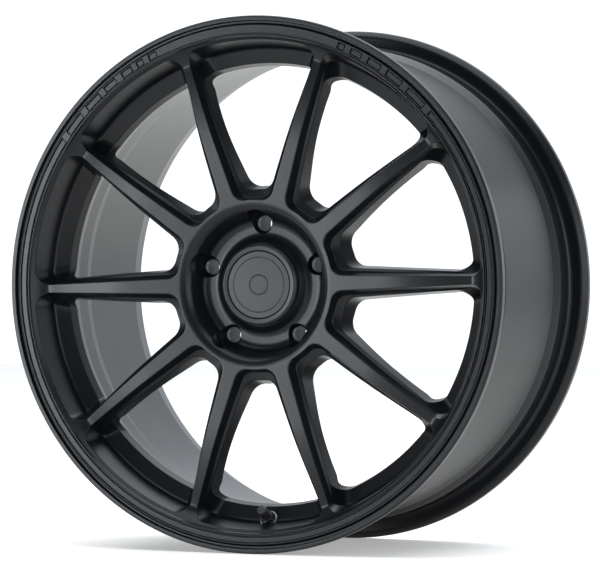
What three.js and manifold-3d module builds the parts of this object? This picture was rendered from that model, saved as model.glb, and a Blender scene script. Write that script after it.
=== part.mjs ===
// Forged ten-spoke racing wheel, 18 x 8.5 in, with its centre cap and its clamp-in valve.
// Millimetres. The wheel turns about Y, its outer face looks along -Y, and +Z is up.
// The origin is the wheel's centre: on the axle line, midway between the two flanges.
import * as THREE from 'three';
import { mergeVertices } from 'three/addons/utils/BufferGeometryUtils.js';
import Module from 'manifold-3d';

const wasm = await Module();
wasm.setup();

// ---------- driving dimensions ----------
const INCH = 25.4;
const RIM_R = 248.3;                            // outside of the flanges
const BEAD_R = 18.19 * INCH / 2;                // bead seat, 18 in rim
const HALF_BEAD = 8.5 * INCH / 2;               // half the width between the flanges
const HALF_WIDTH = 121;                         // half the overall width
const HUMP_R = BEAD_R + 0.4;                    // safety humps beside the bead seats
const WELL_R = 213;                             // outside of the drop centre

const SPOKES = 10;
const SPOKE_PITCH = 2 * Math.PI / SPOKES;
const CLOCKING = THREE.MathUtils.degToRad(-1.05);   // how the wheel stands on the ground
const LEDGE_Y = -104;                           // step along both sides of each spoke
const SPLIT_R = 92;                             // hub inside it, spokes outside it

const BORE_R = 73.1 / 2;                        // centre bore
const PCD_R = 114.3 / 2;                        // bolt circle
const BOLTS = 5;
const BOLT_R = 7.3;                             // bolt hole
const BOLT_SEAT_R = 12.4;                       // pocket around the conical seat
const BOLT_RELIEF_R = 11;                       // clearance behind the seat
const PAD_Y = -45;                              // hub mounting face, 45 mm offset
const PAD_R = 73;

const VALVE_HOLE_R = 11.3 / 2;
const VALVE_R = 218;                            // the valve's seat, from the axle
const VALVE_Y = -86;
const VALVE_LEAN = THREE.MathUtils.degToRad(60);    // from radial, towards the outer face
const VALVE_ANGLE = Math.PI + CLOCKING;

const GAP = 0.3;                                // clearance between neighbouring pieces
const FAR = 140;                                // past both faces of the wheel
const RIM_SIDES = 48;                           // a flat of the rim faces the ground

// ---------- finishes ----------
const satinBlack = finish(0x4a4d50, 0.5, 0.35);
const capBlack = finish(0x55585b, 0.45, 0.3);
const plastic = finish(0x1b1c1e, 0.6, 0);
const rubber = finish(0x141414, 0.9, 0);
const brightMetal = finish(0xc8cacc, 0.3, 1);
const brass = finish(0xb59a5a, 0.35, 1);
const springSteel = finish(0x9a9da0, 0.35, 1);

function finish(color, roughness, metalness) {
  return new THREE.MeshStandardMaterial({ color, roughness, metalness });
}

// ---------- solids ----------
// A profile is a list of [radius, y] points, turned about Y. Its flats lie at the stated radii.
function turned(profile, sides = 24) {
  const stretch = 1 / Math.cos(Math.PI / sides);
  const points = profile.map(([r, y]) => new THREE.Vector2(r * stretch, y));
  const onAxis = profile[0][0] === 0 && profile.at(-1)[0] === 0;
  if (THREE.ShapeUtils.area(points) < 0) points.reverse();
  if (!onAxis) points.push(points[0].clone());
  return new THREE.LatheGeometry(points, sides, Math.PI / sides, 2 * Math.PI);
}

// An outline in X and Z, extruded along Y from yFront to yBack.
function slab(shape, yFront, yBack, curveSegments = 4) {
  const options = { depth: yBack - yFront, bevelEnabled: false, curveSegments };
  const geometry = new THREE.ExtrudeGeometry(shape, options);
  return geometry.rotateX(Math.PI / 2).translate(0, yBack, 0);
}

function tube(path, radius, sides, steps) {
  const section = new THREE.Shape();
  for (let i = 0; i < sides; i++) {
    const angle = 2 * Math.PI * i / sides;
    const x = radius * Math.cos(angle);
    const y = radius * Math.sin(angle);
    if (i === 0) section.moveTo(x, y);
    else section.lineTo(x, y);
  }
  return new THREE.ExtrudeGeometry(section, { steps, extrudePath: path, bevelEnabled: false });
}

function toSolid(geometry) {
  const bare = geometry.clone();
  bare.deleteAttribute('normal');
  bare.deleteAttribute('uv');
  const merged = mergeVertices(bare, 1e-4);
  const vertProperties = new Float32Array(merged.attributes.position.array);
  const triVerts = new Uint32Array(merged.index.array);
  return new wasm.Manifold(new wasm.Mesh({ numProp: 3, vertProperties, triVerts }));
}

function toGeometry(solid) {
  const { vertProperties, triVerts } = solid.getMesh();
  const geometry = new THREE.BufferGeometry();
  geometry.setAttribute('position', new THREE.BufferAttribute(vertProperties, 3));
  geometry.setIndex(new THREE.BufferAttribute(triVerts, 1));
  return geometry;
}

const joinAll = (solids) => solids.reduce((a, b) => a.add(b));

function addPiece(group, name, geometry, material) {
  const mesh = new THREE.Mesh(geometry, material);
  mesh.name = name;
  group.add(mesh);
  return mesh;
}

// ---------- rim ----------
// The wall behind the lip that the windows look onto: cove, sloped panel, window edge.
const COVE = [[230, -120], [227.3, -115.5], [224.6, -108], [222.5, -98], [221, -87],
  [206.5, -81.5], [203.6, -74]];

function rimProfile() {
  const tyreSide = [
    [RIM_R, -HALF_WIDTH + 1.2], [RIM_R, -HALF_BEAD - 5.5], [RIM_R - 2, -HALF_BEAD - 2],
    [RIM_R - 5.3, -HALF_BEAD], [BEAD_R + 1.5, -HALF_BEAD], [BEAD_R, -HALF_BEAD + 1.5],
    [BEAD_R - 1.5, -90], [HUMP_R, -86.5], [229, -83],
    [WELL_R, -66], [WELL_R, -42], [217.8, -30],
    [227, 76], [HUMP_R, 85], [BEAD_R - 1.5, 90],
    [BEAD_R, HALF_BEAD - 1.5], [BEAD_R + 1.5, HALF_BEAD], [RIM_R - 5.3, HALF_BEAD],
    [RIM_R - 2, HALF_BEAD + 2], [RIM_R, HALF_BEAD + 5.5], [RIM_R, HALF_WIDTH - 2],
  ];
  const rearFace = [[RIM_R - 2, HALF_WIDTH], [231, HALF_WIDTH], [229.5, HALF_WIDTH - 1.5]];
  const inside = [[224.2, 96], [222, 84], [213.9, -22], [208.6, -40], [207, -60]];
  const track = [[232.3, -120.1], [232.6, -118.7], [237.6, -118.7], [238.4, -120.1], [239.3, -120.1]];
  const groove = [[241.2, -117.2], [243.4, -117.2], [243.9, -HALF_WIDTH], [247.4, -HALF_WIDTH]];
  return [...tyreSide, ...rearFace, ...inside, ...COVE.toReversed(), ...track, ...groove];
}

// ---------- centre: hub and spokes ----------
// The dish around the cap: a land under the cap's edge, a shallow trough, a steep wall.
const HUB_FRONT = [[BORE_R, -94.5], [38.9, -94.5], [42.5, -91], [45.8, -88.8], [49.7, -88.2],
  [53.7, -88.2], [59.2, -89.8], [62.6, -94.5], [66.8, -105.2], [70.2, -109.2], [74, -111]];
const SPOKE_FRONT = [[110, -112.5], [150, -113.7], [185, -111.5], [215.75, -108]];
const BACK = [[203.2, -74], [185, -84], [160, -90.5], [135, -90.5], [110, -85], [SPLIT_R, -79],
  [PAD_R + 4, -76], [PAD_R, -72], [PAD_R, PAD_Y], [BORE_R, PAD_Y]];

function centreProfile() {
  const rimEnd = COVE.slice(1, -1).map(([r, y]) => [r - GAP, y - GAP]);
  return [...HUB_FRONT, ...SPOKE_FRONT, ...rimEnd, ...BACK];
}

// A point beside the spoke right of the window at the top: along the spoke, then into the window.
function besideSpoke(along, halfWidth, side) {
  const lean = SPOKE_PITCH / 2;
  const x = along * Math.sin(lean) - halfWidth * Math.cos(lean);
  const z = along * Math.cos(lean) + halfWidth * Math.sin(lean);
  return new THREE.Vector2(side * x, z);
}

// A closed outline whose listed corners are rounded off over the given length.
function roundedShape(corners) {
  const shape = new THREE.Shape();
  corners.forEach(({ point, round }, i) => {
    const before = corners.at(i - 1).point;
    const after = corners[(i + 1) % corners.length].point;
    const start = point.clone().add(before.clone().sub(point).setLength(round));
    const end = point.clone().add(after.clone().sub(point).setLength(round));
    if (i === 0) shape.moveTo(start.x, start.y);
    else shape.lineTo(start.x, start.y);
    if (round > 0) shape.quadraticCurveTo(point.x, point.y, end.x, end.y);
  });
  return shape;
}

// A window's outline at the top: hub end, two straight sides along the spokes, open at the rim.
function windowShape(hubEnd, hubRound, sidePoints) {
  const sharp = ([along, halfWidth], side) => {
    return { point: besideSpoke(along, halfWidth, side), round: 0 };
  };
  const side = (s) => sidePoints.map((place) => sharp(place, s));
  const hubCorner = (s) => {
    const start = sharp(sidePoints[0], s).point;
    return { point: new THREE.Vector2(start.x, hubEnd), round: hubRound };
  };
  return roundedShape([hubCorner(-1), ...side(-1), ...side(1).reverse(), hubCorner(1)]);
}

// Each window is cut wide down to the ledge, and narrower from there to the back.
// Both cuts flare at the rim, where the spoke's foot spreads.
function spokeWindows() {
  const flare = [[227, 14.3], [250, 14.3]];
  const upper = windowShape(79.4, 9, [[86, 8.6], [200, 5.8], [214, 5.8], ...flare]);
  const through = windowShape(88.4, 9, [[97, 15.3], [150, 12.6], [200, 9.3], [214, 9.3], ...flare]);
  const upperCut = toSolid(slab(upper, -FAR, LEDGE_Y));
  const throughCut = toSolid(slab(through, -FAR, 0));
  const oneWindow = upperCut.add(throughCut);
  const copies = [];
  for (let i = 0; i < SPOKES; i++) {
    copies.push(turnedTo(oneWindow, i * SPOKE_PITCH + CLOCKING));
  }
  return joinAll(copies);
}

// Turns a solid at the top of the wheel to an angle, clockwise as seen from the outer face.
function turnedTo(solid, angle) {
  return solid.rotate([0, THREE.MathUtils.radToDeg(angle), 0]);
}

// A pocket, its conical seat, the bolt hole and the relief behind it, all through the hub.
function boltPockets() {
  const coneTop = -92.3;
  const coneEnd = -84;
  const holeEnd = -78;
  const profile = [[0, -FAR], [BOLT_SEAT_R, -FAR], [BOLT_SEAT_R, coneTop], [BOLT_R, coneEnd],
    [BOLT_R, holeEnd], [BOLT_RELIEF_R, holeEnd], [BOLT_RELIEF_R, 0], [0, 0]];
  const pocket = turned(profile, 16).translate(0, 0, PCD_R);
  const copies = [];
  for (let i = 0; i < BOLTS; i++) {
    copies.push(turnedTo(toSolid(pocket), i * 2 * Math.PI / BOLTS + CLOCKING));
  }
  return joinAll(copies);
}

function cylinderTo(radius) {
  return toSolid(turned([[0, -FAR], [radius, -FAR], [radius, FAR], [0, FAR]], RIM_SIDES));
}

// ---------- valve, built along its own axis and then laid in its seat ----------
function valveFrame() {
  const outward = new THREE.Vector3(Math.sin(VALVE_ANGLE), 0, Math.cos(VALVE_ANGLE));
  const direction = outward.clone().multiplyScalar(-Math.cos(VALVE_LEAN));
  direction.y = -Math.sin(VALVE_LEAN);
  const group = new THREE.Group();
  group.quaternion.setFromUnitVectors(new THREE.Vector3(0, 1, 0), direction);
  group.position.copy(outward).multiplyScalar(VALVE_R);
  group.position.y = VALVE_Y;
  group.updateMatrix();
  return group;
}

const VALVE_WALL = 7;                           // rim wall left between the two seats
const STEM_R = 3.85;
const STEM_TIP = 17.5;
const STEM_FOOT = -VALVE_WALL - 5;
const FOOT_R = 7.2;
const AIR_R = 1.75;                             // passage up through the stem
const CORE_R = 2.2;
const CORE_FLOOR = 0.6;                         // where the core's chamber starts
const NUT_FLATS = 12;
const NUT_HEIGHT = 5;
const CAP_R = 4.9;
const CAP_FOOT = 8.5;
const CAP_ROOF = 18.8;                          // top of the cavity inside the valve cap

// The outer seat, the hole and the inner seat.
function valveHole(frame) {
  const innerSeat = FOOT_R + 1;
  const outerSeat = 8.7;
  const hole = turned([[0, -30], [innerSeat, -30], [innerSeat, -VALVE_WALL],
    [VALVE_HOLE_R, -VALVE_WALL], [VALVE_HOLE_R, 0], [outerSeat, 0], [outerSeat, 18], [0, 18]]);
  return toSolid(hole.applyMatrix4(frame.matrix));
}

function hexNut() {
  const corner = NUT_FLATS / Math.sqrt(3);
  const collarFoot = 1.4;
  const collarTop = 2.6;
  const flats = new THREE.CylinderGeometry(corner, corner, NUT_HEIGHT, 6);
  const collar = turned([[0, collarFoot], [7, collarFoot], [7, collarTop], [0, collarTop]]);
  const bore = turned([[0, 0], [STEM_R + GAP, 0], [STEM_R + GAP, 9], [0, 9]]);
  flats.translate(0, collarTop - 0.2 + NUT_HEIGHT / 2, 0);
  return toSolid(flats).add(toSolid(collar)).subtract(toSolid(bore));
}

function knurledCap() {
  const body = turned([[0, CAP_FOOT], [CAP_R, CAP_FOOT], [CAP_R, 18.9], [4.2, 20.3], [0, 20.3]]);
  const inner = STEM_R + GAP;
  const cavity = turned([[0, 8], [inner, 8], [inner, CAP_ROOF], [0, CAP_ROOF]]);
  const flute = turned([[0, 9.5], [0.35, 9.5], [0.35, 18.2], [0, 18.2]], 6);
  flute.translate(CAP_R + 0.1, 0, 0);
  const count = 12;
  const flutes = [];
  for (let i = 0; i < count; i++) flutes.push(turnedTo(toSolid(flute), i * 2 * Math.PI / count));
  return toSolid(body).subtract(toSolid(cavity)).subtract(joinAll(flutes));
}

function coreSpring() {
  const turns = 5;
  const stepsPerTurn = 8;
  const coilR = 1.35;
  const wireR = 0.22;
  const foot = 1.2;
  const height = 5.4;
  const count = turns * stepsPerTurn;
  const points = [];
  for (let i = 0; i <= count; i++) {
    const angle = 2 * Math.PI * i / stepsPerTurn;
    const x = coilR * Math.cos(angle);
    const z = coilR * Math.sin(angle);
    points.push(new THREE.Vector3(x, foot + height * i / count, z));
  }
  return tube(new THREE.CatmullRomCurve3(points), wireR, 5, count);
}

function stemProfile() {
  return [[AIR_R, STEM_FOOT], [FOOT_R, STEM_FOOT], [FOOT_R, STEM_FOOT + 2],
    [STEM_R, STEM_FOOT + 3], [STEM_R, STEM_TIP], [CORE_R + GAP, STEM_TIP],
    [CORE_R + GAP, CORE_FLOOR], [AIR_R, CORE_FLOOR]];
}

function grommetProfile() {
  const inner = STEM_R + GAP;
  const neck = VALVE_HOLE_R - GAP;
  return [[inner, -VALVE_WALL - 1.6], [FOOT_R, -VALVE_WALL - 1.6], [FOOT_R, -VALVE_WALL - GAP],
    [neck, -VALVE_WALL - GAP], [neck, -0.4], [inner, -0.4]];
}

// The pin runs from the spring's cup, through the packing and the plug, to the button on top.
function pinProfile() {
  const shaft = 0.5;
  return [[0, 4], [shaft, 4], [shaft, 7.2], [1.8, 7.2], [1.8, 7.7], [shaft, 7.7],
    [shaft, 15.9], [0.9, 15.9], [0.9, 16.7], [0, 16.7]];
}

function buildValve(frame) {
  addPiece(frame, 'valve_stem', turned(stemProfile()), plastic);
  addPiece(frame, 'valve_grommet', turned(grommetProfile()), rubber);
  const washer = [[STEM_R + GAP, GAP], [8.3, GAP], [8.3, 1.1], [STEM_R + GAP, 1.1]];
  addPiece(frame, 'valve_washer', turned(washer), brightMetal);
  addPiece(frame, 'valve_nut', toGeometry(hexNut()), plastic);
  const plug = [[0.9, 9], [CORE_R, 9], [CORE_R, 14.5], [0.9, 14.5]];
  addPiece(frame, 'valve_core_plug', turned(plug, 16), brass);
  const packing = [[1.1, 8], [CORE_R, 8], [CORE_R, 8.7], [1.1, 8.7]];
  addPiece(frame, 'valve_core_packing', turned(packing, 16), rubber);
  addPiece(frame, 'valve_core_pin', turned(pinProfile(), 12), brass);
  addPiece(frame, 'valve_core_spring', coreSpring(), springSteel);
  addPiece(frame, 'valve_cap', toGeometry(knurledCap()), plastic);
  const sealTop = CAP_ROOF - GAP;
  const capSeal = [[2.2, STEM_TIP + GAP], [3.9, STEM_TIP + GAP], [3.9, sealTop], [2.2, sealTop]];
  addPiece(frame, 'valve_cap_seal', turned(capSeal), rubber);
}

// ---------- centre cap ----------
const CAP_FACE_R = 31.6;
const CAP_FACE_Y = -100.2;
const CAP_SKIRT_R = 36.2;                       // outside of the legs, inside the centre bore
const CAP_LEGS = 6;
const CAP_SIDES = 36;
const CLIP_R = 32.5;                            // spring ring behind the legs' hooks
const CLIP_WIRE_R = 0.9;

function capShell() {
  const floorFront = -98.4;
  const floorBack = -95.8;
  const edgeBack = -94.8;
  const legInner = 33.8;
  const legEnd = -76;
  const hook = 31.4;
  const shell = turned([[0, floorFront], [CAP_FACE_R + GAP, floorFront], [CAP_FACE_R + GAP, -101],
    [36.2, -101], [38.3, -99], [38.5, edgeBack], [CAP_SKIRT_R, edgeBack], [CAP_SKIRT_R, legEnd],
    [hook, legEnd], [hook, legEnd - 1.3], [legInner, legEnd - 1.3], [legInner, floorBack],
    [0, floorBack]], CAP_SIDES);
  const slot = new THREE.BoxGeometry(14, 20, 12).translate(0, legEnd - 6, 35);
  const slots = [];
  for (let i = 0; i < CAP_LEGS; i++) {
    slots.push(turnedTo(toSolid(slot), i * 2 * Math.PI / CAP_LEGS));
  }
  return toSolid(shell).subtract(joinAll(slots));
}

// A plain disc with one fine groove and a shallow dimple in the middle.
function capFace() {
  const back = -98.7;
  const disc = turned([[0, CAP_FACE_Y], [25.2, CAP_FACE_Y], [25.6, CAP_FACE_Y + 0.4],
    [26, CAP_FACE_Y], [31.2, CAP_FACE_Y], [CAP_FACE_R, CAP_FACE_Y + 0.4], [CAP_FACE_R, back],
    [0, back]], CAP_SIDES);
  const dimpleR = 9;
  const dimpleY = CAP_FACE_Y + 0.5;
  const dimple = turned([[0, -102], [dimpleR, -102], [dimpleR, dimpleY], [0, dimpleY]], CAP_SIDES);
  return toSolid(disc).subtract(toSolid(dimple));
}

function retainingRing() {
  const halfOpening = 0.3;
  const steps = 24;
  const points = [];
  for (let i = 0; i <= steps; i++) {
    const angle = halfOpening + (2 * Math.PI - 2 * halfOpening) * i / steps;
    points.push(new THREE.Vector3(CLIP_R * Math.sin(angle), -78.7, CLIP_R * Math.cos(angle)));
  }
  return tube(new THREE.CatmullRomCurve3(points), CLIP_WIRE_R, 6, CAP_SIDES);
}

// ---------- assembly ----------
const wheel = new THREE.Group();
const valve = valveFrame();
wheel.add(valve);

const rim = toSolid(turned(rimProfile(), RIM_SIDES)).subtract(valveHole(valve));
addPiece(wheel, 'rim_barrel', toGeometry(rim), satinBlack);

const blank = toSolid(turned(centreProfile(), RIM_SIDES));
const centre = blank.subtract(spokeWindows()).subtract(boltPockets());
const hub = centre.intersect(cylinderTo(SPLIT_R - GAP / 2));
addPiece(wheel, 'hub_centre', toGeometry(hub), satinBlack);

// Where a solid stands around the wheel, clockwise from the top as seen from the outer face.
function angleOf(solid) {
  const box = solid.boundingBox();
  const x = (box.min[0] + box.max[0]) / 2;
  const z = (box.min[2] + box.max[2]) / 2;
  return (Math.atan2(x, z) + 2 * Math.PI) % (2 * Math.PI);
}

const spokes = centre.subtract(cylinderTo(SPLIT_R + GAP / 2)).decompose();
spokes.sort((a, b) => angleOf(a) - angleOf(b));
spokes.forEach((spoke, i) => {
  addPiece(wheel, `spoke_${String(i + 1).padStart(2, '0')}`, toGeometry(spoke), satinBlack);
});

addPiece(wheel, 'cap_shell', toGeometry(capShell()), capBlack);
addPiece(wheel, 'cap_face', toGeometry(capFace()), capBlack);
addPiece(wheel, 'cap_retaining_ring', retainingRing(), springSteel);

buildValve(valve);

export default wheel;
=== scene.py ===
"""Forged ten-spoke racing wheel with its centre cap and valve, on a pale floor in a soft studio.

Lengths are written in millimetres and scaled to metres when a mesh is made. The wheel turns about Y, its
outer face looks along -Y, +Z is up, and angles run clockwise from the top as seen from the outer face.
"""
import math

import bmesh
import bpy
import numpy as np
from mathutils import Matrix, Vector


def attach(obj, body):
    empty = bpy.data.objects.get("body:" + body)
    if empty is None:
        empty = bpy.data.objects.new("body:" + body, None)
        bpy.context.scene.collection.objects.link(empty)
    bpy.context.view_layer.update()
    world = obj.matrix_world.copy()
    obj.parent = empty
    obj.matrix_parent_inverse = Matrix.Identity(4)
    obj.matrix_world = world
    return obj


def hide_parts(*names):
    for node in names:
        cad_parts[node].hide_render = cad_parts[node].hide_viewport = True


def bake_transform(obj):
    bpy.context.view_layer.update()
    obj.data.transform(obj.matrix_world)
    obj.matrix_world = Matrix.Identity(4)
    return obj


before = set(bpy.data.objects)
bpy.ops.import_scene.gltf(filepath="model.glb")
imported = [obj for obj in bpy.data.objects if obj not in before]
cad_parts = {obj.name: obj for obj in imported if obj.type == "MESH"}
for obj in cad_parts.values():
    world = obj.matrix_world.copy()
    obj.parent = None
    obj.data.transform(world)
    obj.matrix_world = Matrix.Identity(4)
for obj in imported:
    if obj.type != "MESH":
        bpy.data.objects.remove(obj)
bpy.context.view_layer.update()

MM = 0.001
SPOKES = 10
BOLTS = 5
HALF_PITCH = math.pi / SPOKES
CLOCKING = math.radians(-1.05)
RIM_R = 248.3
PCD_R = 57.15
FLOOR_Z = -RIM_R * MM


# ---------- profiles and meshes ----------

def rounded(corners, steps=4):
    """A polyline through [r, y, rounding] corners, each corner drawn as a short curve."""
    points = [np.array(c[:2], float) for c in corners]
    path = []
    for i, (_, _, rounding) in enumerate(corners):
        if rounding == 0 or i in (0, len(corners) - 1):
            path.append(points[i])
            continue
        path.extend(bent(points[i - 1], points[i], points[i + 1], rounding, steps))
    return np.array(path)


def bent(before, corner, after, radius, steps):
    """The points of a fillet at a corner, held to less than half of either side."""
    back = before - corner
    ahead = after - corner
    room = 0.45 * min(np.linalg.norm(back), np.linalg.norm(ahead))
    back = back / np.linalg.norm(back)
    ahead = ahead / np.linalg.norm(ahead)
    half_turn = (math.pi - math.acos(np.clip(back @ ahead, -1, 1))) / 2
    reach = min(radius * math.tan(half_turn) + 0.05, room)
    start = corner + back * reach
    end = corner + ahead * reach
    shares = np.linspace(0, 1, steps + 1)[:, None]
    return (1 - shares) ** 2 * start + 2 * shares * (1 - shares) * corner + shares ** 2 * end


def spin(profile, angles):
    """Columns of a profile turned to each angle about the axle."""
    r = profile[:, 0]
    y = profile[:, 1]
    return np.array([np.stack([r * math.sin(a), y, r * math.cos(a)], axis=1) for a in angles])


def even_angles(count):
    return np.arange(count) * 2 * math.pi / count


def grid_mesh(name, columns, closed_around=True, closed_profile=False):
    """A mesh whose vertices are columns of points, joined side by side."""
    across, along, _ = columns.shape
    index = np.arange(across * along).reshape(across, along)
    if closed_around:
        index = np.concatenate([index, index[:1]])
    if closed_profile:
        index = np.concatenate([index, index[:, :1]], axis=1)
    quads = np.stack([index[:-1, :-1], index[1:, :-1], index[1:, 1:], index[:-1, 1:]], axis=-1)
    return plain_mesh(name, columns.reshape(-1, 3), quads.reshape(-1, 4))


def plain_mesh(name, points, faces):
    """An object from points in millimetres, with doubled points joined and faces turned outwards."""
    mesh = bpy.data.meshes.new(name)
    mesh.from_pydata((points * MM).tolist(), [], faces.tolist())
    work = bmesh.new()
    work.from_mesh(mesh)
    bmesh.ops.remove_doubles(work, verts=work.verts, dist=0.002 * MM)
    bmesh.ops.dissolve_degenerate(work, edges=work.edges, dist=0.001 * MM)
    bmesh.ops.recalc_face_normals(work, faces=work.faces)
    work.to_mesh(mesh)
    work.free()
    made = bpy.data.objects.new(name, mesh)
    bpy.context.scene.collection.objects.link(made)
    return made


def smooth(made, crease=40):
    """Smooth shading that keeps the edges sharper than the crease angle."""
    made.data.shade_smooth()
    made.data.set_sharp_from_angle(angle=math.radians(crease))
    weigh = made.modifiers.new("Weighted", "WEIGHTED_NORMAL")
    weigh.keep_sharp = True
    weigh.weight = 80
    return made


def turned(name, profile, sides=96, closed=True):
    """A solid turned about Y. A closed profile is a ring, an open one starts and ends on the axis."""
    return grid_mesh(name, spin(np.array(profile, float), even_angles(sides)), closed_profile=closed)


def combine(target, tool, operation):
    """A boolean of target with tool, applied, after which the tool is deleted."""
    step = target.modifiers.new(operation, "BOOLEAN")
    step.operation = operation
    step.object = tool
    step.solver = "EXACT"
    bpy.context.view_layer.update()
    evaluated = target.evaluated_get(bpy.context.evaluated_depsgraph_get())
    result = bpy.data.meshes.new_from_object(evaluated)
    target.modifiers.clear()
    target.data = result
    bpy.data.objects.remove(tool)


def join(name, parts):
    """One object from several, keeping their meshes apart from each other."""
    work = bmesh.new()
    for part in parts:
        work.from_mesh(part.data)
        bpy.data.objects.remove(part)
    mesh = bpy.data.meshes.new(name)
    work.to_mesh(mesh)
    work.free()
    made = bpy.data.objects.new(name, mesh)
    bpy.context.scene.collection.objects.link(made)
    return made


def finish_piece(made, material, body, nodes):
    made.data.materials.clear()
    made.data.materials.append(material)
    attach(made, body)
    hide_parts(*nodes)
    return made


def through(points):
    """A smooth curve through [x, y] points, as a function of x."""
    xs = np.array([p[0] for p in points], float)
    ys = np.array([p[1] for p in points], float)
    slopes = np.gradient(ys, xs)

    def value(x):
        x = np.clip(x, xs[0], xs[-1])
        i = np.clip(np.searchsorted(xs, x) - 1, 0, len(xs) - 2)
        width = xs[i + 1] - xs[i]
        t = (x - xs[i]) / width
        rise = ys[i] * (2 * t**3 - 3 * t**2 + 1) + ys[i + 1] * (3 * t**2 - 2 * t**3)
        lean = slopes[i] * (t**3 - 2 * t**2 + t) + slopes[i + 1] * (t**3 - t**2)
        return rise + width * lean
    return value


def between(a, b, share):
    return a * (1 - share) + b * share


def eased(share):
    return share * share * (3 - 2 * share)


# ---------- materials ----------

PATCH_SCALE = 24
GRAIN_DEPTH = 0.0001          # in metres


def material(name, color, roughness, metallic=0.0, grain=0.0, grain_scale=900, patch=0.06, gloss=0.5):
    """A surface with slight patches in its roughness and colour, and a fine grain in its relief."""
    made = bpy.data.materials.new(name)
    made.use_nodes = True
    nodes = made.node_tree.nodes
    links = made.node_tree.links
    shader = nodes["Principled BSDF"]
    shader.inputs["Metallic"].default_value = metallic
    shader.inputs["Specular IOR Level"].default_value = gloss
    place = nodes.new("ShaderNodeTexCoord")
    cloud = nodes.new("ShaderNodeTexNoise")
    cloud.inputs["Scale"].default_value = PATCH_SCALE
    cloud.inputs["Detail"].default_value = 4
    links.new(place.outputs["Object"], cloud.inputs["Vector"])
    tint = nodes.new("ShaderNodeMapRange")
    tint.inputs["To Min"].default_value = 1 - patch
    tint.inputs["To Max"].default_value = 1 + patch
    links.new(cloud.outputs["Fac"], tint.inputs["Value"])
    shade = nodes.new("ShaderNodeVectorMath")
    shade.operation = "SCALE"
    shade.inputs[0].default_value = color
    links.new(tint.outputs["Result"], shade.inputs["Scale"])
    links.new(shade.outputs["Vector"], shader.inputs["Base Color"])
    rough = nodes.new("ShaderNodeMapRange")
    rough.inputs["To Min"].default_value = roughness - 0.5 * patch
    rough.inputs["To Max"].default_value = roughness + 0.5 * patch
    links.new(cloud.outputs["Fac"], rough.inputs["Value"])
    links.new(rough.outputs["Result"], shader.inputs["Roughness"])
    if grain > 0:
        specks = nodes.new("ShaderNodeTexNoise")
        specks.inputs["Scale"].default_value = grain_scale
        specks.inputs["Detail"].default_value = 2
        relief = nodes.new("ShaderNodeBump")
        relief.inputs["Strength"].default_value = grain
        relief.inputs["Distance"].default_value = GRAIN_DEPTH
        links.new(place.outputs["Object"], specks.inputs["Vector"])
        links.new(specks.outputs["Fac"], relief.inputs["Height"])
        links.new(relief.outputs["Normal"], shader.inputs["Normal"])
    return made


SATIN_BLACK = material("satin_black_coat", (0.003, 0.0036, 0.0046), 0.31, grain=0.25, gloss=0.22)
# Painted light: a dull mid-grey on the bolt holes' walls, standing in for the backdrop's light on the black
# coat.
BACKLIT_BORE_GREY = material("painted_backlit_bore", (0.11, 0.115, 0.122), 0.75, grain=0.3)
CAP_BLACK = material("cap_black_paint", (0.012, 0.0135, 0.016), 0.34, grain=0.12, gloss=0.24)
VALVE_BLACK = material("valve_black", (0.014, 0.0145, 0.016), 0.38, grain=0.15, grain_scale=2500)
RUBBER = material("black_rubber", (0.012, 0.012, 0.012), 0.7, grain=0.3, grain_scale=2500)
BRIGHT = material("bright_aluminium", (0.26, 0.265, 0.27), 0.42, metallic=1.0, grain=0.1)
BRASS = material("turned_brass", (0.66, 0.5, 0.22), 0.3, metallic=1.0, grain=0.1)
SPRING_STEEL = material("spring_steel", (0.46, 0.47, 0.48), 0.32, metallic=1.0, grain=0.1)


# ---------- rim ----------

RIM_COLUMNS = 360
TRACK_FLUSH_Y = -120.1
TRACK_FLOOR_Y = -119.2
TRACK_EDGE_Y = -118.3
# Where the lip's track is cut, in degrees from the top. The first runs on through the bottom of the wheel.
TRACK_CUTS = [[48.7, 305.5], [307.1, 312.8], [314.4, 319.1], [320.6, 324.4], [326.0, 329.1], [330.4, 332.5],
              [333.8, 336.2], [21.8, 23.8], [25.2, 28.3], [29.8, 33.6], [35.1, 39.8], [41.4, 47.0]]
# Degrees in from a pocket's end: where its wall ends, and where its edge groove turns into its floor.
CUT_RAMP = 0.12
EDGE_GROOVE = 0.28
# Depth of the track where it isn't cut, too small to show.
FLUSH_DEPTH = 0.02


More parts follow.
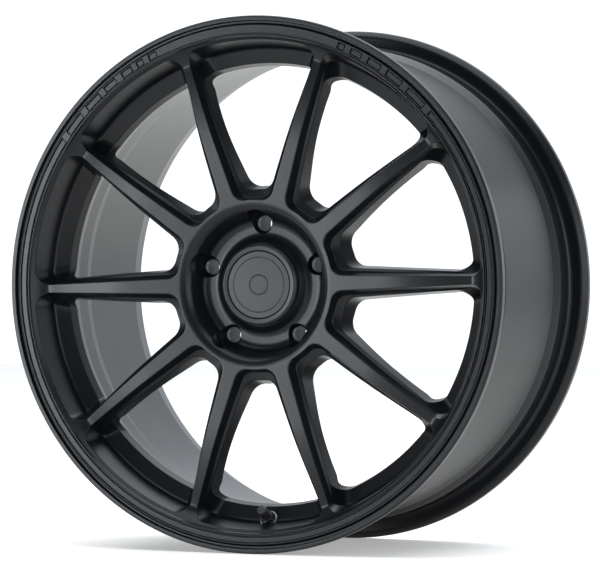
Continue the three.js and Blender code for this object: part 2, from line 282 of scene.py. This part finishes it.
def rim_profile(floor_y, edge_y):
    """The rim's section. The track's floor has a fine groove along either edge."""
    tyre_side = [
        [RIM_R, -119.8, 0.8], [RIM_R, -113, 3.5], [243.5, -107.95, 5], [231, -107.95, 4.5], [229.7, -95, 4],
        [229.3, -90, 2], [231.4, -86.5, 2.5], [228.6, -81, 3], [213, -66, 9], [213, -42, 9],
        [218, -30, 6], [226.6, 74, 4], [231.4, 83.5, 4], [229.4, 89.5, 3], [231, 107.95, 4.5],
        [243.5, 107.95, 5], [RIM_R, 113, 3.5], [RIM_R, 119.2, 1.8], [246, 121, 1.2],
    ]
    inside = [[230.4, 121, 1.2], [229.4, 119.5, 1], [224.2, 96, 1], [213.9, -22, 1.5], [208.6, -40, 1.5],
              [206.9, -60.5, 3]]
    under_centre = [[205.6, -72, 1], [208, -80, 1], [222.4, -86.2, 2], [223.8, -97.6, 2], [225.8, -108, 2],
                    [228.4, -115.8, 1]]
    inner_edge = [[229.7, -120.2, 0.7], [230.6, -120.2, 0.3], [231.0, -118.6, 0.2], [231.9, -118.6, 0.2]]
    track = [[232.2, TRACK_FLUSH_Y, 0.2], [232.5, edge_y, 0.15], [233.0, edge_y, 0.15],
             [233.3, floor_y, 0.15], [237.6, floor_y, 0.15], [237.9, edge_y, 0.15],
             [238.4, edge_y, 0.15], [238.7, TRACK_FLUSH_Y, 0.2]]
    groove = [[239.5, TRACK_FLUSH_Y, 0.3], [241.0, -118.3, 0.3], [241.3, -117.2, 0.3],
              [243.3, -117.2, 0.3], [243.8, -121, 0.5], [247.5, -121, 0.8]]
    corners = tyre_side + inside + under_centre + inner_edge + track + groove
    points = [np.array(c[:2], float) for c in corners]
    count = len(points)
    path = []
    for i, (_, _, rounding) in enumerate(corners):
        path.extend(bent(points[i - 1], points[i], points[(i + 1) % count], rounding, 3))
    return np.array(path)


def rim_angles():
    marks = [math.radians(d) for d in np.arange(0, 360, 360 / RIM_COLUMNS)]
    for start, end in TRACK_CUTS:
        for step in (0, CUT_RAMP, EDGE_GROOVE, EDGE_GROOVE + CUT_RAMP):
            marks.append(math.radians(start + step))
            marks.append(math.radians(end - step))
    marks = np.unique(np.round(np.sort(marks), 6))
    apart = np.append(np.diff(marks) > math.radians(CUT_RAMP / 3), True)
    return marks[apart]


def cut_shares(angle):
    """How far the lip's track is cut at an angle, down its wall and up onto its floor, each 0 to 1."""
    degrees = math.degrees(angle)
    inside = max(min(degrees - start, end - degrees) for start, end in TRACK_CUTS)
    wall = float(np.clip(inside / CUT_RAMP, 0, 1))
    floor = float(np.clip((inside - EDGE_GROOVE) / CUT_RAMP, 0, 1))
    return wall, floor


def make_rim():
    flush = rim_profile(TRACK_FLUSH_Y + FLUSH_DEPTH, TRACK_FLUSH_Y + FLUSH_DEPTH)
    grooved = rim_profile(TRACK_EDGE_Y, TRACK_EDGE_Y)
    cut = rim_profile(TRACK_FLOOR_Y, TRACK_EDGE_Y)
    columns = []
    for angle in rim_angles():
        wall, floor = cut_shares(angle)
        deep = between(grooved, cut, floor)
        columns.append(spin(between(flush, deep, wall), [angle])[0])
    return grid_mesh("rim", np.array(columns), closed_profile=True)


# ---------- wheel centre ----------

# Stations along half a window's outline: hub arc, hub corner, spoke side, rim corner, rim arc.
HUB_STEPS = 9
HUB_CORNER_STEPS = 12
SIDE_STEPS = 24
RIM_CORNER_STEPS = 14
RIM_STEPS = 12
SIDE_START = HUB_STEPS + HUB_CORNER_STEPS
SIDE_END = SIDE_START + SIDE_STEPS
STATIONS = SIDE_END + RIM_CORNER_STEPS + RIM_STEPS + 1
HUB_TURN = HUB_STEPS + HUB_CORNER_STEPS // 2
RIM_TURN = SIDE_END + RIM_CORNER_STEPS // 2

ALONG_SPOKE = np.array([math.sin(HALF_PITCH), math.cos(HALF_PITCH)])
INTO_WINDOW = np.array([-math.cos(HALF_PITCH), math.sin(HALF_PITCH)])
NEAR_HUB = 110
NEAR_RIM = 195

HUB_RING_R = 75.6
HUB_BACK_R = 77
LIP_INSIDE_R = 230.2
BARREL_R = 207.6
FOOT_START = 213.5
FOOT_END = 226.25
FOOT_DROP = 8.2
FOOT_REACH = 1.4              # how far the dip goes on, as a share of the foot's length
FOOT_CURVE = 1.7


def outline(hub_r, hub_corner, half_in, half_out, rim_r, rim_corner):
    """Half a window's outline in the plane of the wheel, from its hub end's middle to its rim end's.

    half_in and half_out are half the spoke's width at NEAR_HUB and NEAR_RIM.
    """
    taper = (half_out - half_in) / (NEAR_RIM - NEAR_HUB)
    side = ALONG_SPOKE + taper * INTO_WINDOW
    side = side / np.linalg.norm(side)
    inward = INTO_WINDOW - taper * ALONG_SPOKE
    inward = inward / np.linalg.norm(inward)
    origin = (half_in - taper * NEAR_HUB) * INTO_WINDOW

    def corner_centre(corner, distance):
        base = origin + corner * inward
        half = base @ side
        reach = -half + math.sqrt(half * half - base @ base + distance * distance)
        return base + reach * side, origin + reach * side

    hub_centre, side_start = corner_centre(hub_corner, hub_r + hub_corner)
    rim_centre, side_end = corner_centre(rim_corner, rim_r - rim_corner)
    hub_touch = hub_centre * hub_r / (hub_r + hub_corner)
    rim_touch = rim_centre * rim_r / (rim_r - rim_corner)
    middle = np.zeros(2)
    side_shares = np.linspace(0, 1, SIDE_STEPS + 1)[:-1, None]
    return np.concatenate([
        arc(middle, np.array([0, hub_r]), hub_touch, HUB_STEPS)[:-1],
        arc(hub_centre, hub_touch, side_start, HUB_CORNER_STEPS)[:-1],
        side_start * (1 - side_shares) + side_end * side_shares,
        arc(rim_centre, side_end, rim_touch, RIM_CORNER_STEPS)[:-1],
        arc(middle, rim_touch, np.array([0, rim_r]), RIM_STEPS),
    ])


def arc(centre, start, end, steps):
    """Points on the shorter arc about a centre, both ends included."""
    first = math.atan2(*(start - centre))
    turn = math.atan2(*(end - centre)) - first
    turn = (turn + math.pi) % (2 * math.pi) - math.pi
    radius = np.linalg.norm(start - centre)
    angles = first + turn * np.linspace(0, 1, steps + 1)
    return centre + radius * np.stack([np.sin(angles), np.cos(angles)], axis=1)


spoke_crest = through([[70, -111], [110, -112.6], [150, -113.6], [185, -111.8], [232, -106.3]])
spoke_back = through([[73, -75], [89.5, -78.7], [110, -84.3], [130, -89], [150, -90.8], [170, -88.6],
                      [188, -83.6], [203.6, -74], [208, -56]])


def front_y(r):
    """Height of the hub's ring, the spoke's face and its foot, which dips to meet the rim."""
    foot = np.clip((r - FOOT_START) / (FOOT_END - FOOT_START), 0, FOOT_REACH)
    return spoke_crest(r) - FOOT_DROP * foot ** FOOT_CURVE


def stepped_y(points, hub_y, side_y, rim_y):
    """Heights along an outline that follow the spoke and settle to a level at the hub and at the rim."""
    radii = np.linalg.norm(points, axis=1)
    y = side_y(radii)
    station = np.arange(STATIONS)
    at_hub = 1 - eased(np.clip((station - HUB_STEPS + 2) / (HUB_CORNER_STEPS + 2), 0, 1))
    at_rim = eased(np.clip((station - SIDE_END) / (RIM_CORNER_STEPS + 1), 0, 1))
    y = y * (1 - at_hub) + hub_y * at_hub
    return y * (1 - at_rim) + rim_y * at_rim


def on_spoke(radii):
    return radii[:, None] * ALONG_SPOKE


def partner(edge, hub_r, rim_r):
    """The far side of a face beside an outline: hub circle, then the spoke's middle, then rim circle."""
    radii = np.linalg.norm(edge, axis=1)
    path = np.zeros((STATIONS, 2))
    hub_angles = np.linspace(0, HALF_PITCH, HUB_TURN + 1)
    path[:HUB_TURN + 1] = hub_r * np.stack([np.sin(hub_angles), np.cos(hub_angles)], axis=1)
    to_side = np.linspace(hub_r, radii[SIDE_START], SIDE_START - HUB_TURN + 1)
    path[HUB_TURN:SIDE_START + 1] = on_spoke(to_side)
    path[SIDE_START:SIDE_END + 1] = on_spoke(radii[SIDE_START:SIDE_END + 1])
    to_rim = np.linspace(radii[SIDE_END], rim_r, RIM_TURN - SIDE_END + 1)
    path[SIDE_END:RIM_TURN + 1] = on_spoke(to_rim)
    rim_angles_left = np.linspace(HALF_PITCH, 0, STATIONS - RIM_TURN)
    path[RIM_TURN:] = rim_r * np.stack([np.sin(rim_angles_left), np.cos(rim_angles_left)], axis=1)
    return path


def solid_points(plan, y):
    return np.stack([plan[:, 0], y, plan[:, 1]], axis=1)


def face_strip(start, end, height, steps=4):
    """Points that cross a face, not counting its two ends, at the face's own height."""
    strip = []
    for k in range(1, steps):
        plan = between(start, end, k / steps)
        strip.append(solid_points(plan, height(np.linalg.norm(plan, axis=1))))
    return strip


# Rounding of the four edges round a window: face edge, wall root, ledge edge and back edge. The wall's
# root opens out to the cove's larger rounding at the rim.
FACE_EDGE = 1.2
LEDGE_ROOT = 2.0
COVE_ROOT = 6.0
LEDGE_EDGE = 1.1
BACK_EDGE = 1.6
FILLET_STEPS = 4
# Which row of the window's section each of those edges is.
FACE_ROW = 4
ROOT_ROW = 7
LEDGE_ROW = 8
BACK_ROW = 9

root_y = through([[75, -101], [95, -103.4], [110, -104.6], [150, -106.4], [195, -103.2], [226, -99.5]])
ledge_y = through([[75, -100], [95, -101.6], [110, -102.8], [150, -104.4], [195, -100.8], [226, -97.5]])

# The hub's section: the dish round the cap, the centre bore, the mounting pad, and up to the spokes' backs.
HUB_SECTION = [[HUB_RING_R, -111.1, 0], [74, -111, 4.3], [70.2, -109.4, 8.3], [66.8, -105.6, 12],
               [60.3, -88.3, 9], [45.5, -88.0, 10], [38.9, -94.5, 0.5], [36.55, -94.5, 0.4],
               [36.55, -46, 0.3], [37.4, -45, 0.3], [73, -45, 1], [73, -71.5, 2], [HUB_BACK_R, -75.6, 0]]
INSIDE_RIM = [[227.6, -108], [225.2, -90], [214, -73], [210, -63]]


def window_section():
    """The rows of points from the spoke's front middle, down the window's wall, to its back middle."""
    face = outline(78.5, 13, 6.5, 4.3, FOOT_END, 12)
    upper = outline(79.2, 12.7, 7.4, 4.9, 224.7, 11.5)
    lower = outline(80.0, 12.3, 8.9, 5.9, 222.6, 10.5)
    root = outline(80.8, 12, 10, 6.6, 221, 9.5)
    ledge = outline(88.5, 14, 12.8, 8.6, 206.5, 9.5)
    back = outline(92.5, 14, 15.4, 10.5, 204.2, 9)
    face_y = front_y(np.linalg.norm(face, axis=1))
    root_heights = stepped_y(root, -101, root_y, -87)
    upper_y = stepped_y(upper, -107.5, lambda r: between(front_y(r), root_y(r), 0.35), -108)
    lower_y = stepped_y(lower, -104, lambda r: between(front_y(r), root_y(r), 0.7), -98)
    ledge_heights = stepped_y(ledge, -99.5, ledge_y, -81.5)
    back_y = spoke_back(np.linalg.norm(back, axis=1))
    front_middle = partner(face, HUB_RING_R, LIP_INSIDE_R)
    back_middle = partner(back, HUB_BACK_R, BARREL_R)

    keys = [solid_points(front_middle, front_y(np.linalg.norm(front_middle, axis=1)))]
    keys += face_strip(front_middle, face, front_y)
    keys += [solid_points(face, face_y), solid_points(upper, upper_y), solid_points(lower, lower_y),
             solid_points(root, root_heights), solid_points(ledge, ledge_heights), solid_points(back, back_y)]
    keys += face_strip(back, back_middle, spoke_back)
    keys += [solid_points(back_middle, spoke_back(np.linalg.norm(back_middle, axis=1)))]
    rounding = {FACE_ROW: FACE_EDGE, ROOT_ROW: LEDGE_ROOT, LEDGE_ROW: LEDGE_EDGE, BACK_ROW: BACK_EDGE}

    keys = np.array(keys).transpose(1, 0, 2)
    rows = []
    for station, key in enumerate(keys):
        to_rim = eased(float(np.clip((station - SIDE_END) / RIM_CORNER_STEPS, 0, 1)))
        row = []
        for j, point in enumerate(key):
            if j not in rounding:
                row.append(point)
                continue
            radius = rounding[j]
            if j == ROOT_ROW:
                radius = between(radius, COVE_ROOT, to_rim)
            row.extend(bent(key[j - 1], point, key[j + 1], radius, FILLET_STEPS))
        rows.append(row)
    return np.array(rows)


def quads_of(grid):
    """The faces of a grid of points, as a stack of four-cornered faces with their own points."""
    return np.stack([grid[:-1, :-1], grid[1:, :-1], grid[1:, 1:], grid[:-1, 1:]], axis=2).reshape(-1, 4, 3)


def half_window_faces():
    section = window_section()
    hub_angles = np.linspace(0, HALF_PITCH, HUB_TURN + 1)
    hub = spin(rounded(HUB_SECTION, 8), hub_angles)
    hub[:, 0] = section[:HUB_TURN + 1, 0]
    hub[:, -1] = section[:HUB_TURN + 1, -1]
    rim_angles_left = np.linspace(HALF_PITCH, 0, STATIONS - RIM_TURN)
    buried = spin(np.array([[LIP_INSIDE_R, 0], *INSIDE_RIM, [BARREL_R, 0]]), rim_angles_left)
    buried[:, 0] = section[RIM_TURN:, 0]
    buried[:, -1] = section[RIM_TURN:, -1]
    return np.concatenate([quads_of(section), quads_of(hub), quads_of(buried)])


def make_centre():
    half = half_window_faces()
    mirrored = (half * [-1, 1, 1])[:, ::-1]
    window = np.concatenate([half, mirrored])
    copies = []
    for k in range(SPOKES):
        angle = 2 * HALF_PITCH * k + CLOCKING
        x = window[..., 0] * math.cos(angle) + window[..., 2] * math.sin(angle)
        z = window[..., 2] * math.cos(angle) - window[..., 0] * math.sin(angle)
        copies.append(np.stack([x, window[..., 1], z], axis=-1))
    corners = np.concatenate(copies).reshape(-1, 3)
    faces = np.arange(len(corners)).reshape(-1, 4)
    return plain_mesh("wheel_centre", corners, faces)


HOLE_BACK_Y = -78
PAD_Y = -45
# A pocket for the bolt's head, its conical seat, the hole, and the relief behind it.
BOLT_POCKET = [[0, -140], [12.5, -140], [12.4, -92.6], [12.1, -91.7], [7.5, -84.3], [7.3, -83.9],
               [7.3, -78.4], [7.6, HOLE_BACK_Y], [10.6, HOLE_BACK_Y], [11, -77.6], [11, -45.6],
               [11.8, -44.8], [11.8, -30], [0, -30]]
# The faces picked here get a painted grey that stands in for the backdrop's light on the bores' walls.
# A face belongs to a relief if the radius of its middle is this near the bolt circle's. It may lie past the
# relief's floor by the first margin, and has to be short of the mounting pad by the second.
RELIEF_REACH = 11.5
RELIEF_FLOOR_MARGIN = 0.2
RELIEF_PAD_MARGIN = 0.3


def cut_bolt_pockets(centre):
    pockets = []
    for k in range(BOLTS):
        pocket = turned("pocket", BOLT_POCKET, 64, closed=False)
        angle = 2 * math.pi * k / BOLTS + CLOCKING
        x = PCD_R * math.sin(angle) * MM
        z = PCD_R * math.cos(angle) * MM
        pocket.data.transform(Matrix.Translation((x, 0, z)))
        pockets.append(pocket)
    combine(centre, join("pockets", pockets), "DIFFERENCE")


def paint_backlit_grey_in_bores(centre):
    """The bolt holes' walls behind their seats get a dull mid-grey: painted light for the backdrop's light on
    their black coat.
    """
    centre.data.materials.append(BACKLIT_BORE_GREY)
    lowest = HOLE_BACK_Y - RELIEF_FLOOR_MARGIN
    highest = PAD_Y - RELIEF_PAD_MARGIN
    for face in centre.data.polygons:
        x, y, z = face.center / MM
        radius = math.hypot(x, z)
        if abs(radius - PCD_R) < RELIEF_REACH and lowest < y < highest:
            face.material_index = 1


# ---------- valve ----------

VALVE_R = 218
VALVE_Y = -86
VALVE_LEAN = math.radians(60)
VALVE_ANGLE = math.pi + CLOCKING
VALVE_WALL = 7
STEM_R = 3.85
STEM_TIP = 17.5
THREAD_PITCH = 0.79
THREAD_DEPTH = 0.3
CLEAR_R = 4.15                # bore of what slips over the stem: washer, seal, nut and cap
AIR_R = 1.75                  # the stem's air passage
FOOT_R = 7.2
CORE_BORE_R = 2.5


def valve_place():
    outward = Vector((math.sin(VALVE_ANGLE), 0, math.cos(VALVE_ANGLE)))
    direction = -math.cos(VALVE_LEAN) * outward - Vector((0, math.sin(VALVE_LEAN), 0))
    turn = Vector((0, 1, 0)).rotation_difference(direction).to_matrix().to_4x4()
    seat = outward * VALVE_R
    seat.y = VALVE_Y
    return Matrix.Translation(seat * MM) @ turn


VALVE_PLACE = valve_place()


def seated(made):
    made.data.transform(VALVE_PLACE)
    return made


def valve_hole():
    hole = [[0, -30], [8.2, -30], [8.2, -VALVE_WALL], [5.65, -VALVE_WALL], [5.65, 0], [8.7, 0], [8.7, 18],
            [0, 18]]
    return seated(turned("valve_hole", hole, 64, closed=False))


def threaded(name, profile, sides, thread_from, thread_to, radius):
    """A ring turned about its axis whose surface at the radius carries a thread between two heights."""
    angles = even_angles(sides)
    columns = spin(np.array(profile, float), angles)
    for column, angle in zip(columns, angles):
        r = np.hypot(column[:, 0], column[:, 2])
        wave = np.abs((column[:, 1] / THREAD_PITCH - angle / (2 * math.pi)) % 1 - 0.5) * 2
        on_thread = (np.abs(r - radius) < 0.01) & (column[:, 1] > thread_from) & (column[:, 1] < thread_to)
        cut = np.where(on_thread, 1 - THREAD_DEPTH * wave / radius, 1)
        column[:, 0] *= cut
        column[:, 2] *= cut
    return grid_mesh(name, columns, closed_profile=True)


def valve_stem():
    foot = -VALVE_WALL - 5
    outer = [[STEM_R, y] for y in np.arange(foot + 3, STEM_TIP - 0.5, 0.2)]
    profile = [[AIR_R, foot], [6.8, foot], [FOOT_R, foot + 0.4], [FOOT_R, foot + 1.6], [6.9, foot + 2],
               *outer, [STEM_R, STEM_TIP - 0.5], [STEM_R - 0.4, STEM_TIP], [2.6, STEM_TIP],
               [CORE_BORE_R, STEM_TIP - 0.2], [CORE_BORE_R, 0.6], [AIR_R, 0.6]]
    return threaded("valve_stem", profile, 48, 1.5, STEM_TIP - 0.5, STEM_R)


def hex_nut():
    flats = 12
    point_r = flats / math.sqrt(3)
    prism = grid_mesh("valve_nut", spin(np.array([[0, 1.4], [point_r, 1.4], [point_r, 7.4], [0, 7.4]]),
                                        even_angles(6)))
    chamfered = turned("chamfer", [[0, 1.4], [6.6, 1.4], [7.2, 1.9], [7.2, 6.7], [6.05, 7.4], [0, 7.4]], 64,
                       closed=False)
    combine(prism, chamfered, "INTERSECT")
    collar = turned("collar", [[0, 1.4], [6.9, 1.4], [7.1, 1.6], [7.1, 2.2], [6.8, 2.5], [0, 2.5]], 64,
                    closed=False)
    combine(prism, collar, "UNION")
    bore = turned("bore", [[0, 0], [CLEAR_R, 0], [CLEAR_R, 6.9], [4.7, 7.6], [0, 7.6]], 48, closed=False)
    combine(prism, bore, "DIFFERENCE")
    return prism


KNURLS = 36
KNURL_DEPTH = 0.28
KNURL_LEAD = 0.88             # knurls crossed per millimetre along the cap
KNURL_FROM = 9.7
KNURL_TO = 18.75
CAP_WALL_R = 4.9


def knurled_cap():
    """The valve cap: a smooth collar at the mouth, a diamond knurl, and a rounded top."""
    wall = [[CAP_WALL_R, y] for y in np.arange(9.6, 18.81, 0.23)]
    profile = [[CLEAR_R, 8.5], [4.6, 8.5], [4.75, 8.65], [4.75, 9.3], *wall, [4.8, 19.1], [4.6, 19.6],
               [4.2, 20.1], [3.6, 20.3], [1.8, 20.3], [1.6, 20.15], [0, 20.15], [0, 18.8], [CLEAR_R, 18.8]]
    profile = np.array(profile)
    angles = even_angles(KNURLS * 6)
    columns = spin(profile, angles)
    for column, angle in zip(columns, angles):
        y = column[:, 1]
        knurled = (np.abs(profile[:, 0] - CAP_WALL_R) < 0.01) & (y > KNURL_FROM) & (y < KNURL_TO)
        left = np.abs(((angle / (2 * math.pi) * KNURLS + y * KNURL_LEAD) % 1) - 0.5) * 2
        right = np.abs(((angle / (2 * math.pi) * KNURLS - y * KNURL_LEAD) % 1) - 0.5) * 2
        depth = np.where(knurled, KNURL_DEPTH * (1 - np.minimum(left, right)) ** 1.5, 0)
        cut = 1 - depth / CAP_WALL_R
        column[:, 0] *= cut
        column[:, 2] *= cut
    return grid_mesh("valve_cap", columns, closed_profile=True)


def coil(name, radius, wire, height_from, height_to, turns, sides=10):
    """A closed round-wire spring along Y."""
    steps = int(turns * 36)
    shares = np.linspace(0, 1, steps + 1)
    angles = 2 * math.pi * turns * shares
    middle = np.stack([radius * np.cos(angles), between(height_from, height_to, shares),
                       radius * np.sin(angles)], axis=1)
    return swept(name, middle, wire, sides)


def swept(name, middle, wire, sides):
    """A round wire along a path, with closed ends."""
    ahead = np.gradient(middle, axis=0)
    ahead = ahead / np.linalg.norm(ahead, axis=1)[:, None]
    up = np.array([0.0, 1.0, 0.0])
    across = np.cross(ahead, up)
    across = across / np.linalg.norm(across, axis=1)[:, None]
    over = np.cross(across, ahead)
    ring = even_angles(sides)
    rings = middle[:, None] + wire * (across[:, None] * np.cos(ring)[:, None]
                                      + over[:, None] * np.sin(ring)[:, None])
    first = np.repeat(middle[:1, None], sides, axis=1)
    last = np.repeat(middle[-1:, None], sides, axis=1)
    rings = np.concatenate([first, rings, last])
    return grid_mesh(name, rings, closed_around=False, closed_profile=True)


def make_valve():
    pieces = [
        (valve_stem(), VALVE_BLACK, "valve_black", "wheel", "valve_stem", 30),
        (turned("valve_grommet", rubber_seal(), 64), RUBBER, "rubber", "wheel", "valve_grommet", 40),
        (turned("valve_washer", washer_profile(), 64), BRIGHT, "bright_aluminium", "wheel",
         "valve_washer", 40),
        (hex_nut(), VALVE_BLACK, "valve_black", "wheel", "valve_nut", 25),
        (turned("valve_core_plug", core_plug(), 48), BRASS, "brass", "wheel", "valve_core_plug", 30),
        (turned("valve_core_packing", packing_profile(), 40), RUBBER, "rubber", "wheel",
         "valve_core_packing", 40),
        (turned("valve_core_pin", core_pin(), 32, closed=False), BRASS, "brass", "valve_pin",
         "valve_core_pin", 30),
        (knurled_cap(), VALVE_BLACK, "valve_black", "valve_cap", "valve_cap", 30),
        (turned("valve_cap_seal", cap_seal_profile(), 48), RUBBER, "rubber", "valve_cap_carrier",
         "valve_cap_seal", 40),
    ]
    for made, look, slot, body, node, crease in pieces:
        made.name = "look_" + node
        finish_piece(smooth(seated(made), crease), look, body, [node])


def make_core_spring():
    """The core's spring, a round-wire coil from its foot to its top, seated in the valve."""
    foot = 1.25
    top = 6.6
    spring = coil("look_valve_core_spring", radius=1.35, wire=0.2, height_from=foot, height_to=top, turns=5)
    seated(smooth(spring))
    spring.data.materials.append(SPRING_STEEL)
    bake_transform(spring)
    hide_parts("valve_core_spring")


def washer_profile():
    return [[CLEAR_R, 0.3], [8.1, 0.3], [8.3, 0.45], [8.3, 0.95], [8.1, 1.1], [CLEAR_R, 1.1]]


def packing_profile():
    return [[1.1, 8], [2.0, 8], [2.2, 8.2], [2.2, 8.5], [2.0, 8.7], [1.1, 8.7]]


def cap_seal_profile():
    return [[2.2, 17.85], [3.8, 17.85], [3.9, 17.95], [3.9, 18.4], [3.8, 18.5], [2.2, 18.5]]


def rubber_seal():
    back = -VALVE_WALL
    return [[CLEAR_R, back - 1.6], [6.8, back - 1.6], [FOOT_R, back - 1.2], [FOOT_R, back - 0.6],
            [6.9, back - 0.3], [5.35, back - 0.3], [5.35, -0.7], [5.05, -0.4], [CLEAR_R, -0.4]]


def core_plug():
    threads = []
    for k in range(8):
        y = 9.3 + 0.5 * k
        threads += [[2.0, y], [2.2, y + 0.25]]
    return [[0.9, 9], [1.9, 9], *threads, [1.9, 13.4], [1.9, 14.2], [1.6, 14.5], [0.9, 14.5]]


def core_pin():
    return [[0, 4], [0.4, 4], [0.5, 4.1], [0.5, 7.2], [1.7, 7.2], [1.8, 7.3], [1.8, 7.6], [1.7, 7.7],
            [0.5, 7.7], [0.5, 15.9], [0.8, 15.9], [0.9, 16.0], [0.9, 16.5], [0.7, 16.7], [0, 16.7]]


# ---------- centre cap ----------

CAP_LEGS = 6
SLOT_WIDTH = 14
SLOT_LENGTH = 20
SLOT_DEPTH = 12
SLOT_Y = -82
SLOT_R = 35
CLIP_R = 32.5
CLIP_WIRE_R = 0.9
CLIP_Y = -78.7
CLIP_OPENING = 0.3            # half the ring's opening, in radians
CLIP_STEPS = 145


def cap_shell():
    """The cap's shell: a cover with a raised rim, and a skirt cut by slots into legs with inward hooks."""
    corners = [[0, -98.4, 0], [31.7, -98.4, 0.2], [31.95, -100.8, 0.3], [35.9, -101.1, 1.5],
               [38.1, -99.0, 2.2], [38.5, -96.2, 0.6], [38.4, -94.8, 0.2], [36.2, -94.8, 0.2],
               [36.2, -76.4, 0.3], [35.8, -76, 0.2], [31.6, -76, 0.2], [31.4, -77.3, 0.2],
               [33.8, -77.5, 0.3], [33.8, -95.8, 0.5], [0, -95.8, 0]]
    shell = turned("look_cap_shell", rounded(corners), 192, closed=False)
    slots = []
    for k in range(CAP_LEGS):
        bpy.ops.mesh.primitive_cube_add(size=1)
        slot = bpy.context.object
        angle = 2 * math.pi * k / CAP_LEGS
        size = Matrix.Diagonal((SLOT_WIDTH * MM, SLOT_LENGTH * MM, SLOT_DEPTH * MM, 1))
        out = Matrix.Rotation(angle, 4, "Y") @ Matrix.Translation((0, SLOT_Y * MM, SLOT_R * MM))
        slot.data.transform(out @ size)
        slots.append(slot)
    combine(shell, join("slots", slots), "DIFFERENCE")
    return shell


def cap_face():
    """The cap's disc, with a fine ring groove and a small round groove about its middle."""
    corners = [[0, -100.2, 0], [8.4, -100.2, 0.2], [8.8, -99.75, 0.2], [9.4, -99.75, 0.2], [9.8, -100.2, 0.2],
               [25.1, -100.2, 0.15], [25.35, -99.85, 0.15], [25.85, -99.85, 0.15], [26.1, -100.2, 0.15],
               [30.8, -100.2, 0.6], [31.5, -99.5, 0.3], [31.5, -98.7, 0.1], [0, -98.7, 0]]
    return turned("look_cap_face", rounded(corners), 192, closed=False)


def retaining_ring():
    angles = np.linspace(CLIP_OPENING, 2 * math.pi - CLIP_OPENING, CLIP_STEPS)
    height = np.full(CLIP_STEPS, CLIP_Y)
    middle = np.stack([CLIP_R * np.sin(angles), height, CLIP_R * np.cos(angles)], axis=1)
    return swept("look_cap_retaining_ring", middle, CLIP_WIRE_R, 12)


def make_cap():
    finish_piece(smooth(cap_shell(), 35), CAP_BLACK, "centre_cap", ["cap_shell"])
    finish_piece(smooth(cap_face(), 35), CAP_BLACK, "centre_cap", ["cap_face"])
    finish_piece(smooth(retaining_ring(), 50), SPRING_STEEL, "centre_cap",
                 ["cap_retaining_ring"])


# ---------- studio ----------

LIGHT_COLOR = (0.9, 0.955, 1.0)
CAMERA_AZIMUTH = math.radians(23.58)
CAMERA_DISTANCE = 3.476
CAMERA_LENS = 219.1
CAMERA_SHIFT_X = -0.0034
CAMERA_SHIFT_Y = -0.0014


def plane(name, size, place, turn, look):
    bpy.ops.mesh.primitive_plane_add(size=1)
    made = bpy.context.object
    made.name = name
    made.scale = (*size, 1)
    made.location = place
    made.rotation_euler = turn
    made.data.materials.append(look)


def studio_looks():
    floor = bpy.data.materials.new("pale_floor")
    floor.use_nodes = True
    shader = floor.node_tree.nodes["Principled BSDF"]
    shader.inputs["Base Color"].default_value = (0.9, 0.865, 0.83, 1)
    shader.inputs["Roughness"].default_value = 0.9
    shader.inputs["Emission Color"].default_value = (1, 1, 1, 1)
    shader.inputs["Emission Strength"].default_value = 0.26
    wall = bpy.data.materials.new("white_wall")
    wall.use_nodes = True
    nodes = wall.node_tree.nodes
    nodes.remove(nodes["Principled BSDF"])
    glow = nodes.new("ShaderNodeEmission")
    glow.inputs["Color"].default_value = (0.88, 0.94, 1.0, 1)
    glow.inputs["Strength"].default_value = 1.25
    wall.node_tree.links.new(glow.outputs["Emission"], nodes["Material Output"].inputs["Surface"])
    return floor, wall


def area_light(name, place, target, size, power):
    data = bpy.data.lights.new(name, "AREA")
    data.shape = "RECTANGLE"
    data.size, data.size_y = size
    data.energy = power
    data.color = LIGHT_COLOR
    lamp = bpy.data.objects.new(name, data)
    lamp.location = place
    lamp.rotation_euler = (Vector(target) - Vector(place)).to_track_quat("-Z", "Y").to_euler()
    bpy.context.scene.collection.objects.link(lamp)


def make_studio():
    floor, wall = studio_looks()
    plane("floor", (40, 40), (0, 0, FLOOR_Z), (0, 0, 0), floor)
    plane("back_wall", (40, 16), (0, 7, FLOOR_Z + 7.9), (math.pi / 2, 0, 0), wall)
    world = bpy.data.worlds.new("studio")
    world.use_nodes = True
    world.node_tree.nodes["Background"].inputs["Color"].default_value = (0.9, 0.95, 1.0, 1)
    world.node_tree.nodes["Background"].inputs["Strength"].default_value = 0.3
    bpy.context.scene.world = world
    area_light("key", (-1.9, -2.9, -0.25), (0, 0, 0), (1.2, 1.2), 115)
    area_light("overhead", (0, 0.5, 3.0), (0, 0.5, 0), (4, 5.4), 200)
    area_light("side_right", (3.0, -0.9, 0.3), (0, 0, 0), (3.4, 2.0), 70)
    area_light("rear_right", (1.3, 3.0, 0.5), (0, 0, 0), (0.8, 1.2), 4)
    bpy.context.scene.view_settings.view_transform = "Standard"


def make_camera():
    data = bpy.data.cameras.new("camera")
    data.lens = CAMERA_LENS
    data.sensor_width = 36
    data.shift_x = CAMERA_SHIFT_X
    data.shift_y = CAMERA_SHIFT_Y
    data.clip_start = 0.05
    data.clip_end = 60
    camera = bpy.data.objects.new("camera", data)
    back = Vector((math.sin(CAMERA_AZIMUTH), -math.cos(CAMERA_AZIMUTH), 0))
    camera.location = back * CAMERA_DISTANCE
    camera.rotation_euler = (-back).to_track_quat("-Z", "Y").to_euler()
    bpy.context.scene.collection.objects.link(camera)
    bpy.context.scene.camera = camera


# ---------- the wheel ----------

rim = make_rim()
combine(rim, valve_hole(), "DIFFERENCE")
rim.name = "look_rim"
finish_piece(smooth(rim), SATIN_BLACK, "wheel", ["rim_barrel"])

centre = make_centre()
cut_bolt_pockets(centre)
combine(centre, valve_hole(), "DIFFERENCE")
centre.name = "look_wheel_centre"
spoke_nodes = [f"spoke_{k:02d}" for k in range(1, SPOKES + 1)]
finish_piece(smooth(centre, 50), SATIN_BLACK, "wheel", ["hub_centre", *spoke_nodes])
# The bolt holes' walls get the painted grey of backdrop light.
paint_backlit_grey_in_bores(centre)

make_cap()
make_valve()
make_core_spring()
make_studio()
make_camera()
